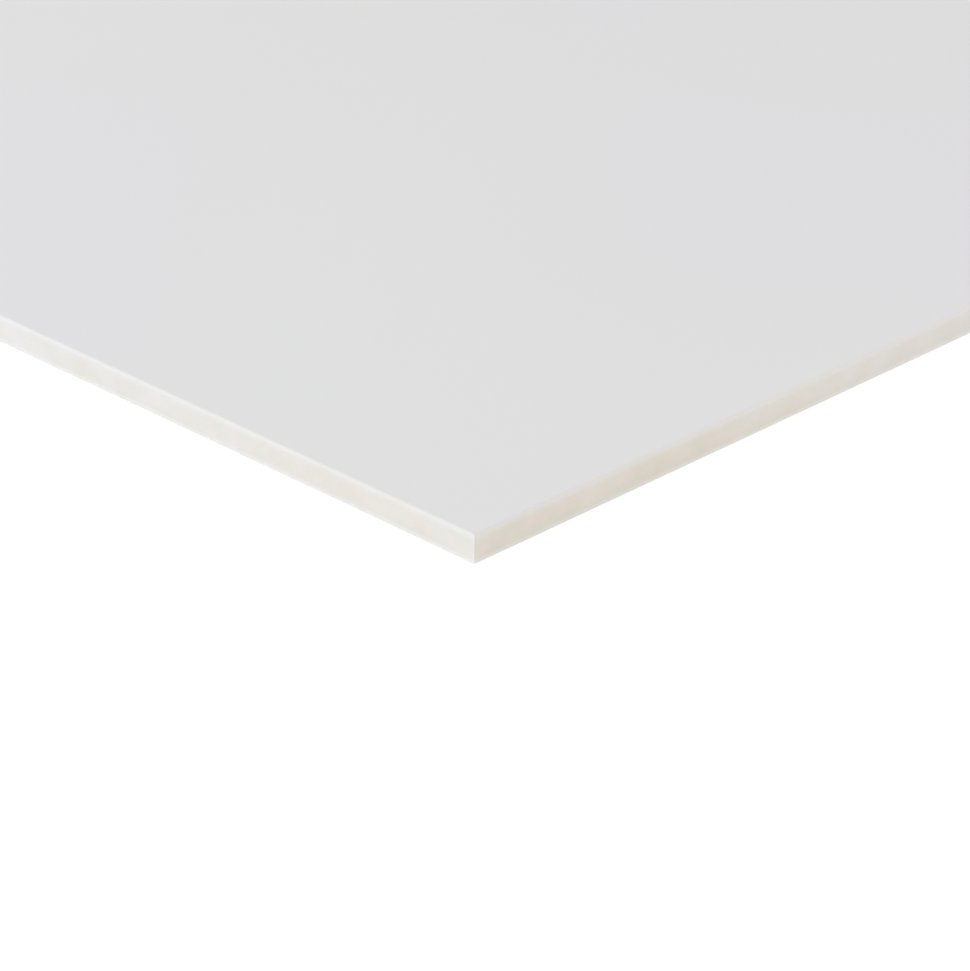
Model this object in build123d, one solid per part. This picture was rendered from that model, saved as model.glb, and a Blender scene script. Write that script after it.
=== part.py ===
from build123d import *

import os

# White-coated MDF board: one full stock sheet, lying flat on its lower face.
# Millimetres, +Z up. The origin is the middle of the lower face, +X runs along the sheet and +Y across it.

# Stock sizes of the sheet
SHEET_LENGTH = 2440.0
SHEET_WIDTH = 1220.0
SHEET_THICKNESS = 18.0

# Rounding sanded along the arrises, where the two faces meet the sawn edges
ARRIS_RADIUS = 2.0


def sawn_sheet():
    """The sheet as it leaves the panel saw: square on every edge, with its lower face at z = 0."""
    return Box(
        SHEET_LENGTH,
        SHEET_WIDTH,
        SHEET_THICKNESS,
        align=(Align.CENTER, Align.CENTER, Align.MIN),
    )


def eased_board(sheet):
    """The sheet with the arrises of both faces rounded. The upright corners stay as sharp as the saw left them."""
    upright_corners = sheet.edges().filter_by(Axis.Z)
    arrises = sheet.edges() - upright_corners
    return fillet(arrises, ARRIS_RADIUS)


os.makedirs("parts", exist_ok=True)
export_step(eased_board(sawn_sheet()), "parts/mdf_board.step")
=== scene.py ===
"""The looks of a white-faced MDF board, and the white studio that it is photographed in.

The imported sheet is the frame. The board is modelled at the frame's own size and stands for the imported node.
Lengths are in metres, unless a name ends in _mm.
"""

import math
from typing import NamedTuple

import bmesh
import bpy
from bpy.props import FloatProperty, FloatVectorProperty, IntProperty, PointerProperty
from mathutils import Euler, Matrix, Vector, noise


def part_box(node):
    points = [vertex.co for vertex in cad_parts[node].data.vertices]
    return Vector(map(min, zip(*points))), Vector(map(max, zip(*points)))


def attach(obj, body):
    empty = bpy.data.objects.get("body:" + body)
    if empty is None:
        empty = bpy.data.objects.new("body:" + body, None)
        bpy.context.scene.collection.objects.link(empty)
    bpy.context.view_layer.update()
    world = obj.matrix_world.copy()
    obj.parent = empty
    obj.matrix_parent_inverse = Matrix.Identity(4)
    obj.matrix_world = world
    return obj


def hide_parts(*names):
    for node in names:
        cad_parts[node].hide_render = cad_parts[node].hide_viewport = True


bl_info = {
    "name": "White-faced MDF board",
    "version": (1, 0, 0),
    "blender": (4, 5, 0),
    "location": "View3D > Sidebar > MDF board",
    "description": "Models a white-faced MDF sheet over its packed frame and sets it in a white studio",
    "category": "Add Mesh",
}

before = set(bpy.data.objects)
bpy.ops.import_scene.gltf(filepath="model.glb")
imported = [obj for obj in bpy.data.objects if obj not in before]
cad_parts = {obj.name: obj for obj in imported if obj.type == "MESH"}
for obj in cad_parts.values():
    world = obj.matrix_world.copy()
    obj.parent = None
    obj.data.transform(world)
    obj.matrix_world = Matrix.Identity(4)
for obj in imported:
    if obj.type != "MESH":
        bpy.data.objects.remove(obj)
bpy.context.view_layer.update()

NODE = "mdf_board"
BODY = "root"

SHEET_LOW, SHEET_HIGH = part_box(NODE)
SHEET_SIZE = SHEET_HIGH - SHEET_LOW
SHEET_MIDDLE = (SHEET_LOW + SHEET_HIGH) / 2
NEAR_CORNER = Vector((SHEET_HIGH.x, SHEET_LOW.y, SHEET_HIGH.z))

MM = 0.001
TOLERANCE = 0.01 * MM

# The photograph's frame, and where the sheet's near upper corner stands in it
FRAME_PX = (970, 971)
NEAR_CORNER_PX = (474.4, 535.6)

# Sockets of the colour mix node, whose names repeat for numbers and vectors
MIX_FACTOR = 0
MIX_FIRST = 6
MIX_SECOND = 7
MIX_RESULT = 2


class Mottle(NamedTuple):
    """An uneven share of a second colour, from a noise of some size in millimetres, moved to a place.

    It is 0 up to the noise's level start, and reaches most at the level full.
    """

    size_mm: float
    start: float
    full: float
    most: float = 1.0
    detail: float = 0.0
    place: tuple = (0.0, 0.0, 0.0)


class SoftboxPlace(NamedTuple):
    """Where a square softbox stands round the near corner, in degrees and metres, and how wide it is."""

    azimuth: float
    elevation: float
    distance: float
    width: float


# The drift's place puts its neutral stretch at the near corner, and cooler ones to its left and right.
COOL_DRIFT = Mottle(size_mm=360.0, start=0.40, full=0.70, place=(-0.61, -0.80, 0.0))
# Bundles are a few millimetres across, and are drawn at 9 mm so that they show.
GREENER_BUNDLES = Mottle(size_mm=9.0, start=0.35, full=0.65, detail=1.0)
# The stretches' place puts the creamiest one at the near corner, with paler ones to its left and right.
PALE_STRETCHES = Mottle(size_mm=450.0, start=0.31, full=0.75, place=(-0.67, 2.52, 0.0))
# The patches' place leaves the sheet's long side calm by the near corner, and its short side less so.
DENSE_PATCHES = Mottle(size_mm=28.0, start=0.35, full=0.65, most=0.35, detail=1.0, place=(1.24, -2.47, 0.0))

KEY_PLACE = SoftboxPlace(azimuth=-11.0, elevation=16.0, distance=3.4, width=1.3)
TOP_PLACE = SoftboxPlace(azimuth=-55.0, elevation=37.0, distance=4.0, width=3.0)
FILL_PLACE = SoftboxPlace(azimuth=115.0, elevation=16.0, distance=2.2, width=1.1)
BACK_PLACE = SoftboxPlace(azimuth=145.0, elevation=40.0, distance=4.0, width=3.0)


def linear(hex_colour):
    """An sRGB colour such as "E3E3E3" as linear red, green and blue."""
    shares = (int(hex_colour[start:start + 2], 16) / 255 for start in (0, 2, 4))
    return tuple(s / 12.92 if s <= 0.04045 else ((s + 0.055) / 1.055) ** 2.4 for s in shares)


def opaque(colour):
    """A linear colour with the alpha that a node's colour socket holds."""
    return (*colour, 1.0)


def per_metre(size_mm):
    """The scale at which a texture's features are that many millimetres across on Object coordinates."""
    return 1.0 / (size_mm * MM)


def towards(azimuth, elevation):
    """The unit vector from the sheet towards an azimuth, where 0 is the -Y side, and an elevation."""
    return Vector((
        math.sin(azimuth) * math.cos(elevation),
        -math.cos(azimuth) * math.cos(elevation),
        math.sin(elevation),
    ))


def packed_arris_radius():
    """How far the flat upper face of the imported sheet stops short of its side."""
    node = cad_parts[NODE]
    places = [node.matrix_world @ vert.co for vert in node.data.vertices]
    flat = [place for place in places if SHEET_HIGH.z - place.z < TOLERANCE]
    return SHEET_HIGH.y - max(place.y for place in flat)


# Settings

class SheetSettings(bpy.types.PropertyGroup):
    """Sizes of the modelled sheet that the frame's box doesn't give."""

    arris_radius: FloatProperty(
        name="Arris radius",
        description="Rounding sanded where the faces meet the sawn edges",
        default=packed_arris_radius(),
        unit="LENGTH",
    )
    arris_steps: IntProperty(
        name="Arris steps",
        description="Facets across the rounding",
        default=8,
        min=2,
    )
    arris_wander: FloatProperty(
        name="Arris wander",
        description="Most that the sanding takes off the middle of the rounding, here and there along it",
        default=0.25 * MM,
        unit="LENGTH",
    )
    wander_length: FloatProperty(
        name="Wander length",
        description="How far apart along the arris the deeper sanded places are",
        default=45.0 * MM,
        unit="LENGTH",
    )
    mesh_pitch: FloatProperty(
        name="Mesh pitch",
        description="Distance between the mesh's lines along and across the sheet",
        default=12.0 * MM,
        unit="LENGTH",
    )


class FinishSettings(bpy.types.PropertyGroup):
    """Colours of the coated faces and the sawn edges, how the one passes into the other, and the painted light
    round the arrises.
    """

    primer_white: FloatVectorProperty(
        name="Primer white",
        description="White primer on both faces",
        subtype="COLOR",
        default=linear("EAEAE9"),
    )
    primer_cool: FloatVectorProperty(
        name="Primer, cooler",
        description="The slightly bluer shade that the primer drifts to",
        subtype="COLOR",
        default=linear("EAE9EB"),
    )
    thin_margin: FloatProperty(
        name="Thin margin",
        description="How far in from the edges the primer on the faces starts to thin",
        default=5.5 * MM,
        unit="LENGTH",
    )
    thin_depth: FloatProperty(
        name="Thin depth",
        description="How far down the edges from each face the last of the primer ends",
        default=6.0 * MM,
        unit="LENGTH",
    )
    # Painted light round the arrises: a whiter band that is a painted highlight on the upper arrises, and lifts
    # the shade of the lower ones by the floor.
    arris_painted_light: FloatVectorProperty(
        name="Arris white",
        description="Primer over the arrises, where the roller leaves it thickest",
        subtype="COLOR",
        default=linear("FBFAF6"),
    )
    # How far in on the faces the painted light of the arrises reaches.
    painted_light_margin: FloatProperty(
        name="Rim margin",
        description="How far in from the edges the thicker primer of the arrises reaches",
        default=2.0 * MM,
        unit="LENGTH",
    )
    # How far down the edges the painted light of the arrises reaches.
    painted_light_depth: FloatProperty(
        name="Rim depth",
        description="How far down the edges from each face the thicker primer of the arrises reaches",
        default=4.3 * MM,
        unit="LENGTH",
    )
    # Strength of the painted highlight on the upper arrises. The lower arrises get the painted light in full.
    upper_painted_light: FloatProperty(
        name="Upper rim",
        description="Share of that thicker primer that handling has left on the upper arrises",
        default=0.17,
        subtype="FACTOR",
    )
    edge_pale: FloatVectorProperty(
        name="Edge pale",
        description="Felted fibre of the sawn edges where it is palest",
        subtype="COLOR",
        default=linear("EFEDE9"),
    )
    edge_pink: FloatVectorProperty(
        name="Edge pink",
        description="Fibre bundles of a redder wood in the sawn edges",
        subtype="COLOR",
        default=linear("F2EAE2"),
    )
    edge_olive: FloatVectorProperty(
        name="Edge olive",
        description="Fibre bundles of a greener wood in the sawn edges",
        subtype="COLOR",
        default=linear("ECEADF"),
    )
    edge_dense: FloatVectorProperty(
        name="Edge dense",
        description="Patches of the sawn edges where the fibre is pressed denser",
        subtype="COLOR",
        default=linear("E5DDCD"),
    )
    edge_fleck: FloatVectorProperty(
        name="Edge fleck",
        description="Short darker fibres in the sawn edges",
        subtype="COLOR",
        default=linear("DDD3C4"),
    )


class StudioSettings(bpy.types.PropertyGroup):
    """The camera that took the photograph, and its light."""

    lens: FloatProperty(
        name="Lens",
        description="Focal length in millimetres on a 36 mm sensor",
        default=135.0,
    )
    camera_azimuth: FloatProperty(
        name="Camera azimuth",
        description="Where the camera stands round the sheet, from the -Y side",
        default=math.radians(45.03),
        subtype="ANGLE",
    )
    camera_elevation: FloatProperty(
        name="Camera elevation",
        description="How far down the camera looks",
        default=math.radians(26.66),
        subtype="ANGLE",
    )
    corner_depth: FloatProperty(
        name="Corner depth",
        description="Distance of the near corner along the camera's axis",
        default=1.92,
        unit="LENGTH",
    )
    key_level: FloatProperty(
        name="Key level",
        description="Share of full white that the key alone gives a card facing it at the near corner",
        default=0.214,
        subtype="FACTOR",
    )
    key_colour: FloatVectorProperty(
        name="Key colour",
        description="Colour of the cooler softbox to the camera's left",
        subtype="COLOR",
        default=linear("D7E8FF"),
    )
    fill_level: FloatProperty(
        name="Fill level",
        description="Share of full white that the fill alone gives a card facing it at the near corner",
        default=0.095,
        subtype="FACTOR",
    )
    fill_colour: FloatVectorProperty(
        name="Fill colour",
        description="Colour of the warmer softbox to the camera's right",
        subtype="COLOR",
        default=linear("FFE6D2"),
    )
    top_level: FloatProperty(
        name="Top level",
        description="Share of full white that the top alone gives a card facing it at the near corner",
        default=0.22,
        subtype="FACTOR",
    )
    top_colour: FloatVectorProperty(
        name="Top colour",
        description="Colour of the softbox above the camera's left",
        subtype="COLOR",
        default=linear("FFFAF7"),
    )
    back_level: FloatProperty(
        name="Back level",
        description="Share of full white that the back alone gives a card facing it at the near corner",
        default=0.098,
        subtype="FACTOR",
    )
    back_colour: FloatVectorProperty(
        name="Back colour",
        description="Colour of the softbox above and behind the sheet's right",
        subtype="COLOR",
        default=linear("ECF6FF"),
    )
    room_level: FloatProperty(
        name="Room level",
        description="Even light from the white room",
        default=0.66,
        subtype="FACTOR",
    )


# Materials

def add_node(tree, kind, inputs=None, **settings):
    """Adds a node with its settings. An input is given a value, or the socket that it is linked to."""
    node = tree.nodes.new(kind)
    for name, value in settings.items():
        setattr(node, name, value)
    for socket, value in (inputs or {}).items():
        if isinstance(value, bpy.types.NodeSocket):
            tree.links.new(value, node.inputs[socket])
        else:
            node.inputs[socket].default_value = value
    return node


def empty_material(name):
    """A new material with nothing in its node tree."""
    material = bpy.data.materials.new(name)
    material.use_nodes = True
    material.node_tree.nodes.clear()
    return material


def mottle_share(tree, place, mottle):
    """A socket that holds the mottle's share at a place."""
    moved = add_node(tree, "ShaderNodeMapping", {"Vector": place, "Location": mottle.place})
    cloud = add_node(tree, "ShaderNodeTexNoise", {
        "Vector": moved.outputs["Vector"],
        "Scale": per_metre(mottle.size_mm),
        "Detail": mottle.detail,
    })
    return add_node(tree, "ShaderNodeMapRange", {
        "Value": cloud.outputs["Fac"],
        "From Min": mottle.start,
        "From Max": mottle.full,
        "To Max": mottle.most,
    }).outputs["Result"]


def primer_tone(tree, place, finish):
    """Colour of the rolled primer, which drifts by less than a shade over an arm's length."""
    return add_node(tree, "ShaderNodeMix", {
        MIX_FACTOR: mottle_share(tree, place, COOL_DRIFT),
        MIX_FIRST: opaque(finish.primer_white),
        MIX_SECOND: opaque(finish.primer_cool),
    }, data_type="RGBA").outputs[MIX_RESULT]


def felt_tone(tree, edge_place, fibre, finish):
    """Colour of the sawn edge: redder and greener bundles, paler stretches, denser patches and flecks."""
    fleck_start = 0.55
    fleck_full = 0.8
    fleck_most = 0.25
    fleck_share = add_node(tree, "ShaderNodeMapRange", {
        "Value": fibre,
        "From Min": fleck_start,
        "From Max": fleck_full,
        "To Max": fleck_most,
    })
    tone = opaque(finish.edge_pink)
    for share, colour in (
        (mottle_share(tree, edge_place, GREENER_BUNDLES), finish.edge_olive),
        (mottle_share(tree, edge_place, PALE_STRETCHES), finish.edge_pale),
        (mottle_share(tree, edge_place, DENSE_PATCHES), finish.edge_dense),
        (fleck_share.outputs["Result"], finish.edge_fleck),
    ):
        tone = add_node(tree, "ShaderNodeMix", {
            MIX_FACTOR: share,
            MIX_FIRST: tone,
            MIX_SECOND: opaque(colour),
        }, data_type="RGBA").outputs[MIX_RESULT]
    return tone


def past_arris(tree, place):
    """Depth below the nearer face less the distance in from the nearest edge: 0 halfway round an arris."""
    centred = add_node(tree, "ShaderNodeMapping", {"Vector": place, "Location": -SHEET_MIDDLE})
    off_middle = add_node(tree, "ShaderNodeVectorMath", {
        0: centred.outputs["Vector"],
    }, operation="ABSOLUTE")
    below_skin = add_node(tree, "ShaderNodeVectorMath", {
        0: SHEET_SIZE / 2,
        1: off_middle.outputs["Vector"],
    }, operation="SUBTRACT")
    parts = add_node(tree, "ShaderNodeSeparateXYZ", {"Vector": below_skin.outputs["Vector"]})
    from_edge = add_node(tree, "ShaderNodeMath", {
        0: parts.outputs["X"],
        1: parts.outputs["Y"],
    }, operation="MINIMUM")
    return add_node(tree, "ShaderNodeMath", {
        0: parts.outputs["Z"],
        1: from_edge.outputs["Value"],
    }, operation="SUBTRACT").outputs["Value"]


def bare_share(tree, past, finish):
    """0 where the primer is whole, on the faces, rising to 1 where the fibre is bare, down the edges."""
    return add_node(tree, "ShaderNodeMapRange", {
        "Value": past,
        "From Min": -finish.thin_margin,
        "From Max": finish.thin_depth,
    }, interpolation_type="SMOOTHSTEP").outputs["Result"]


def painted_light_share(tree, past, height, finish):
    """Share of the painted light round the arrises: highest halfway round them, falling to 0 a little way in on
    the faces and down the edges. It is full on the lower arrises, where it lifts their shade by the floor, and
    weaker on the upper ones, where it is a painted highlight.
    """
    up_from_face = add_node(tree, "ShaderNodeMapRange", {
        "Value": past,
        "From Min": -finish.painted_light_margin,
        "From Max": 0.0,
    }, interpolation_type="SMOOTHSTEP")
    down_to_edge = add_node(tree, "ShaderNodeMapRange", {
        "Value": past,
        "From Min": 0.0,
        "From Max": finish.painted_light_depth,
        "To Min": 1.0,
        "To Max": 0.0,
    }, interpolation_type="SMOOTHSTEP")
    band = add_node(tree, "ShaderNodeMath", {
        0: up_from_face.outputs["Result"],
        1: down_to_edge.outputs["Result"],
    }, operation="MULTIPLY")
    # The painted light is full on the lower arrises and falls to the upper share on the upper ones.
    strength_by_height = add_node(tree, "ShaderNodeMapRange", {
        "Value": height,
        "From Min": SHEET_LOW.z,
        "From Max": SHEET_HIGH.z,
        "To Min": 1.0,
        "To Max": finish.upper_painted_light,
    })
    return add_node(tree, "ShaderNodeMath", {
        0: band.outputs["Value"],
        1: strength_by_height.outputs["Result"],
    }, operation="MULTIPLY").outputs["Value"]


def surface_roughness(tree, bare, stipple):
    """Roughness of the primer, uneven with its stipple, rising to that of the fibre as the primer thins."""
    smoothest_primer = 0.55
    roughest_primer = 0.65
    bare_fibre = 0.70
    rise_start = 0.45
    primer = add_node(tree, "ShaderNodeMapRange", {
        "Value": stipple,
        "To Min": smoothest_primer,
        "To Max": roughest_primer,
    })
    return add_node(tree, "ShaderNodeMapRange", {
        "Value": bare,
        "From Min": rise_start,
        "To Min": primer.outputs["Result"],
        "To Max": bare_fibre,
    }).outputs["Result"]


def surface_relief(tree, bare, stipple, fibre):
    """Normals of the primer's low stipple, passing into the fibre's higher relief as the primer thins."""
    fibre_height_mm = 0.03
    stipple_part = 0.4
    stipple_height = add_node(tree, "ShaderNodeMath", {0: stipple, 1: stipple_part}, operation="MULTIPLY")
    height = add_node(tree, "ShaderNodeMapRange", {
        "Value": bare,
        "To Min": stipple_height.outputs["Value"],
        "To Max": fibre,
    })
    return add_node(tree, "ShaderNodeBump", {
        "Height": height.outputs["Result"],
        "Strength": 1.0,
        "Distance": fibre_height_mm * MM,
    }).outputs["Normal"]


def primed_mdf(finish):
    """MDF with white primer rolled on both faces and over the arrises, which ends in bare sawn edges."""
    # The primer gives an even, nearly matt white, in which the roller's fine stipple shows only as a slight
    # unevenness of the sheen. The sawn edge is matt, felted wood fibre that lies along the sheet.
    # Stipple is about 1 mm across, and is drawn at 2.5 mm so that it shows at all. Fibres are about 0.1 mm
    # thick, and are drawn at 0.9 mm for the same reason.
    stipple_mm = 2.5
    stipple_detail = 2.0
    fibre_mm = 0.9
    fibre_detail = 3.0
    fibre_stretch = 5.0
    primer_ior = 1.5
    material = empty_material("primed_mdf")
    tree = material.node_tree
    place = add_node(tree, "ShaderNodeTexCoord").outputs["Object"]
    parts = add_node(tree, "ShaderNodeSeparateXYZ", {"Vector": place})
    # Only X or Y changes along an edge, so their sum is the run along it, on round the corners.
    along = add_node(tree, "ShaderNodeMath", {
        0: parts.outputs["X"],
        1: parts.outputs["Y"],
    }, operation="ADD")
    edge_place = add_node(tree, "ShaderNodeCombineXYZ", {
        "X": along.outputs["Value"],
        "Z": parts.outputs["Z"],
    }).outputs["Vector"]
    fibre_place = add_node(tree, "ShaderNodeMapping", {
        "Vector": edge_place,
        "Scale": (1.0 / fibre_stretch, 1.0, 1.0),
    })
    fibre = add_node(tree, "ShaderNodeTexNoise", {
        "Vector": fibre_place.outputs["Vector"],
        "Scale": per_metre(fibre_mm),
        "Detail": fibre_detail,
    }).outputs["Fac"]
    stipple = add_node(tree, "ShaderNodeTexNoise", {
        "Vector": place,
        "Scale": per_metre(stipple_mm),
        "Detail": stipple_detail,
    }).outputs["Fac"]
    past = past_arris(tree, place)
    bare = bare_share(tree, past, finish)
    thinned = add_node(tree, "ShaderNodeMix", {
        MIX_FACTOR: bare,
        MIX_FIRST: primer_tone(tree, place, finish),
        MIX_SECOND: felt_tone(tree, edge_place, fibre, finish),
    }, data_type="RGBA")
    # Painted light: a whiter band round the arrises. It is a painted highlight on the upper ones, and lifts the
    # shade of the lower ones by the floor.
    colour = add_node(tree, "ShaderNodeMix", {
        MIX_FACTOR: painted_light_share(tree, past, parts.outputs["Z"], finish),
        MIX_FIRST: thinned.outputs[MIX_RESULT],
        MIX_SECOND: opaque(finish.arris_painted_light),
    }, data_type="RGBA")
    shader = add_node(tree, "ShaderNodeBsdfPrincipled", {
        "Base Color": colour.outputs[MIX_RESULT],
        "Roughness": surface_roughness(tree, bare, stipple),
        "IOR": primer_ior,
        "Normal": surface_relief(tree, bare, stipple, fibre),
    })
    add_node(tree, "ShaderNodeOutputMaterial", {"Surface": shader.outputs["BSDF"]})
    return material


# The sheet

def level_edges(mesh):
    """The edges of the mesh that lie level, along the sheet or across it."""
    return [edge for edge in mesh.edges if abs(edge.verts[0].co.z - edge.verts[1].co.z) < TOLERANCE]


def divide_along(mesh, axis, pitch):
    """Cuts every long edge that runs along an axis into even lengths, and so the faces between them."""
    long_edges = []
    for edge in mesh.edges:
        run = edge.verts[1].co - edge.verts[0].co
        if abs(run[axis]) > SHEET_SIZE[axis] / 2:
            long_edges.append(edge)
    cuts = round(SHEET_SIZE[axis] / pitch) - 1
    bmesh.ops.subdivide_edges(mesh, edges=long_edges, cuts=cuts, use_grid_fill=True)


def sand_unevenly(mesh, sheet):
    """Takes a little off the middle of the rounded arrises, more in some places than in others."""
    mesh.normal_update()
    for vert in mesh.verts:
        # The double angle's sine is 1 halfway round an arris, and 0 on the faces and the edges.
        level_share = math.hypot(vert.normal.x, vert.normal.y)
        middle_share = 2.0 * level_share * abs(vert.normal.z)
        depth = 0.5 + 0.5 * noise.noise(vert.co / sheet.wander_length)
        vert.co -= vert.normal * sheet.arris_wander * depth * middle_share


def sheet_mesh(sheet):
    """The board: a block of the frame's size with rounded arrises and sharp upright corners."""
    board = bmesh.new()
    bmesh.ops.create_cube(board, size=1.0)
    bmesh.ops.scale(board, vec=SHEET_SIZE, verts=board.verts)
    bmesh.ops.translate(board, vec=SHEET_MIDDLE, verts=board.verts)
    bmesh.ops.bevel(
        board,
        geom=level_edges(board),
        offset=sheet.arris_radius,
        offset_type="OFFSET",
        segments=sheet.arris_steps,
        profile=0.5,
        affect="EDGES",
        material=-1,
    )
    divide_along(board, 0, sheet.mesh_pitch)
    divide_along(board, 1, sheet.mesh_pitch)
    sand_unevenly(board, sheet)
    bmesh.ops.recalc_face_normals(board, faces=board.faces)
    return board


class MDFBOARD_OT_add_sheet(bpy.types.Operator):
    """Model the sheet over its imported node, with coated faces and sawn edges"""

    bl_idname = "mdf_board.add_sheet"
    bl_label = "Add sheet"

    def execute(self, context):
        sheet = context.scene.mdf_sheet
        finish = context.scene.mdf_finish
        board = sheet_mesh(sheet)
        crease = math.radians(25.0)
        for face in board.faces:
            face.smooth = True
        for edge in board.edges:
            edge.smooth = edge.calc_face_angle() < crease
        mesh = bpy.data.meshes.new("white_faced_mdf_sheet")
        board.to_mesh(mesh)
        board.free()
        mesh.materials.append(primed_mdf(finish))
        piece = bpy.data.objects.new("white_faced_mdf_sheet", mesh)
        context.scene.collection.objects.link(piece)
        normals = piece.modifiers.new("Flat faces stay flat", "WEIGHTED_NORMAL")
        normals.keep_sharp = True
        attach(piece, BODY)
        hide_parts(NODE)
        return {"FINISHED"}


# The stage

def background_rays(tree):
    """A socket that is 1 for rays that see the background: from the camera, in a gloss or through glass."""
    path = add_node(tree, "ShaderNodeLightPath")
    seen = add_node(tree, "ShaderNodeMath", {
        0: path.outputs["Is Camera Ray"],
        1: path.outputs["Is Glossy Ray"],
    }, operation="MAXIMUM")
    return add_node(tree, "ShaderNodeMath", {
        0: seen.outputs["Value"],
        1: path.outputs["Is Transmission Ray"],
    }, operation="MAXIMUM").outputs["Value"]


def white_floor_material():
    """Studio floor: plain white to the sheet, burnt out to white round a faint shadow for the camera."""
    # Matt white paint. The camera sees it mostly as a glow, and the little left as paint takes the shadow.
    glow_strength = 0.90
    full_white = opaque(linear("FFFFFF"))
    shadow_grey = opaque(linear("6F6F6F"))
    paint_white = opaque(linear("F6F6F6"))
    material = empty_material("white_studio_floor")
    tree = material.node_tree
    glow = add_node(tree, "ShaderNodeEmission", {"Color": full_white, "Strength": glow_strength})
    faint = add_node(tree, "ShaderNodeBsdfDiffuse", {"Color": shadow_grey})
    burnt_out = add_node(tree, "ShaderNodeAddShader", {
        0: glow.outputs["Emission"],
        1: faint.outputs["BSDF"],
    })
    plain = add_node(tree, "ShaderNodeBsdfDiffuse", {"Color": paint_white})
    surface = add_node(tree, "ShaderNodeMixShader", {
        0: background_rays(tree),
        1: plain.outputs["BSDF"],
        2: burnt_out.outputs["Shader"],
    })
    add_node(tree, "ShaderNodeOutputMaterial", {"Surface": surface.outputs["Shader"]})
    return material


def add_floor(scene):
    """A wide floor just under the sheet."""
    floor_gap = 0.2 * MM
    half_width = 40.0
    plane = bmesh.new()
    bmesh.ops.create_grid(plane, x_segments=1, y_segments=1, size=half_width)
    bmesh.ops.translate(plane, vec=(0.0, 0.0, SHEET_LOW.z - floor_gap), verts=plane.verts)
    mesh = bpy.data.meshes.new("studio_floor")
    plane.to_mesh(mesh)
    plane.free()
    mesh.materials.append(white_floor_material())
    floor = bpy.data.objects.new("studio_floor", mesh)
    scene.collection.objects.link(floor)


def add_camera(scene, studio):
    """The photograph's camera, placed so that the near corner falls on its pixel."""
    far_clip = 100.0
    data = bpy.data.cameras.new("photograph_camera")
    data.lens = studio.lens
    data.clip_end = far_clip
    camera = bpy.data.objects.new("photograph_camera", data)
    scene.collection.objects.link(camera)
    camera.rotation_euler = Euler((math.pi / 2 - studio.camera_elevation, 0.0, studio.camera_azimuth))
    focal_px = studio.lens / data.sensor_width * max(FRAME_PX)
    corner_ray = Vector((
        (NEAR_CORNER_PX[0] - FRAME_PX[0] / 2) / focal_px,
        (FRAME_PX[1] / 2 - NEAR_CORNER_PX[1]) / focal_px,
        -1.0,
    ))
    corner_ray.rotate(camera.rotation_euler)
    camera.location = NEAR_CORNER - corner_ray * studio.corner_depth
    scene.camera = camera


def add_softbox(scene, name, place, level, colour):
    """A square softbox that faces the near corner and gives a white card there that level of white."""
    data = bpy.data.lights.new(name, "AREA")
    data.size = place.width
    data.color = colour
    data.energy = level * (math.pi * place.distance) ** 2
    lamp = bpy.data.objects.new(name, data)
    scene.collection.objects.link(lamp)
    outwards = towards(math.radians(place.azimuth), math.radians(place.elevation))
    lamp.location = NEAR_CORNER + outwards * place.distance
    lamp.rotation_euler = outwards.to_track_quat("Z", "Y").to_euler()
    lamp.visible_camera = False


def set_room_light(scene, studio):
    """An even white room, seen as plain white."""
    world = bpy.data.worlds.new("white_room")
    world.use_nodes = True
    tree = world.node_tree
    tree.nodes.clear()
    white = opaque(linear("FFFFFF"))
    light = add_node(tree, "ShaderNodeBackground", {"Color": white, "Strength": studio.room_level})
    seen = add_node(tree, "ShaderNodeBackground", {"Color": white, "Strength": 1.0})
    surface = add_node(tree, "ShaderNodeMixShader", {
        0: background_rays(tree),
        1: light.outputs["Background"],
        2: seen.outputs["Background"],
    })
    add_node(tree, "ShaderNodeOutputWorld", {"Surface": surface.outputs["Shader"]})
    scene.world = world


class MDFBOARD_OT_set_stage(bpy.types.Operator):
    """Set the floor, the room's light, the softboxes and the photograph's camera"""

    bl_idname = "mdf_board.set_stage"
    bl_label = "Set stage"

    def execute(self, context):
        scene = context.scene
        studio = scene.mdf_studio
        add_floor(scene)
        add_camera(scene, studio)
        add_softbox(scene, "key_softbox", KEY_PLACE, studio.key_level, studio.key_colour)
        add_softbox(scene, "top_softbox", TOP_PLACE, studio.top_level, studio.top_colour)
        add_softbox(scene, "fill_softbox", FILL_PLACE, studio.fill_level, studio.fill_colour)
        add_softbox(scene, "back_softbox", BACK_PLACE, studio.back_level, studio.back_colour)
        set_room_light(scene, studio)
        scene.view_settings.view_transform = "Standard"
        return {"FINISHED"}


# The sidebar

class MDFBOARD_PT_sidebar(bpy.types.Panel):
    """Lists the sheet's settings and the steps that make it"""

    bl_idname = "MDFBOARD_PT_sidebar"
    bl_label = "MDF board"
    bl_space_type = "VIEW_3D"
    bl_region_type = "UI"
    bl_category = "MDF board"

    def draw(self, context):
        layout = self.layout
        scene = context.scene
        for settings, operator in (
            (scene.mdf_sheet, None),
            (scene.mdf_finish, MDFBOARD_OT_add_sheet),
            (scene.mdf_studio, MDFBOARD_OT_set_stage),
        ):
            column = layout.column()
            for name in settings.__annotations__:
                column.prop(settings, name)
            if operator:
                column.operator(operator.bl_idname)


CLASSES = (
    SheetSettings,
    FinishSettings,
    StudioSettings,
    MDFBOARD_OT_add_sheet,
    MDFBOARD_OT_set_stage,
    MDFBOARD_PT_sidebar,
)


def register():
    for each in CLASSES:
        bpy.utils.register_class(each)
    bpy.types.Scene.mdf_sheet = PointerProperty(type=SheetSettings)
    bpy.types.Scene.mdf_finish = PointerProperty(type=FinishSettings)
    bpy.types.Scene.mdf_studio = PointerProperty(type=StudioSettings)


def unregister():
    del bpy.types.Scene.mdf_studio
    del bpy.types.Scene.mdf_finish
    del bpy.types.Scene.mdf_sheet
    for each in reversed(CLASSES):
        bpy.utils.unregister_class(each)


def main():
    register()
    bpy.ops.mdf_board.add_sheet()
    bpy.ops.mdf_board.set_stage()


if __name__ == "__main__":
    main()
